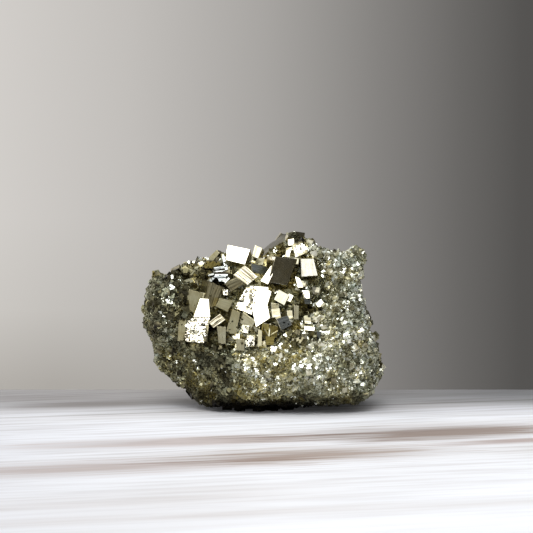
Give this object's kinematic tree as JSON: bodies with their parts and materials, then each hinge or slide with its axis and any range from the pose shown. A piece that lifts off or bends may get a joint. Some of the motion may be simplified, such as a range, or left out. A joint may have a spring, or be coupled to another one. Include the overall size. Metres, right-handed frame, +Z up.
{
  "type": "pyrite cluster",
  "caption": "Hand-size cluster of pyrite: flat-faced cubes in a sloping hollow, set in a lump with a sugary crust.",
  "frame": {"origin": "middle of the bounding box in plan, on the plane that the cluster rests on", "axes": "+X along the longest side, to the right of someone who looks at the hollow; +Z up from the resting plane; the hollow faces -Y"},
  "size_m": [0.0657, 0.0428, 0.0467],
  "materials": {
    "pyrite": "natural metallic pyrite, pale brass yellow, bright on crystal faces and dull olive where fine-grained"
  },
  "bodies": {
    "root": {"pyrite_cluster": "pyrite"}
  },
  "joints": []
}
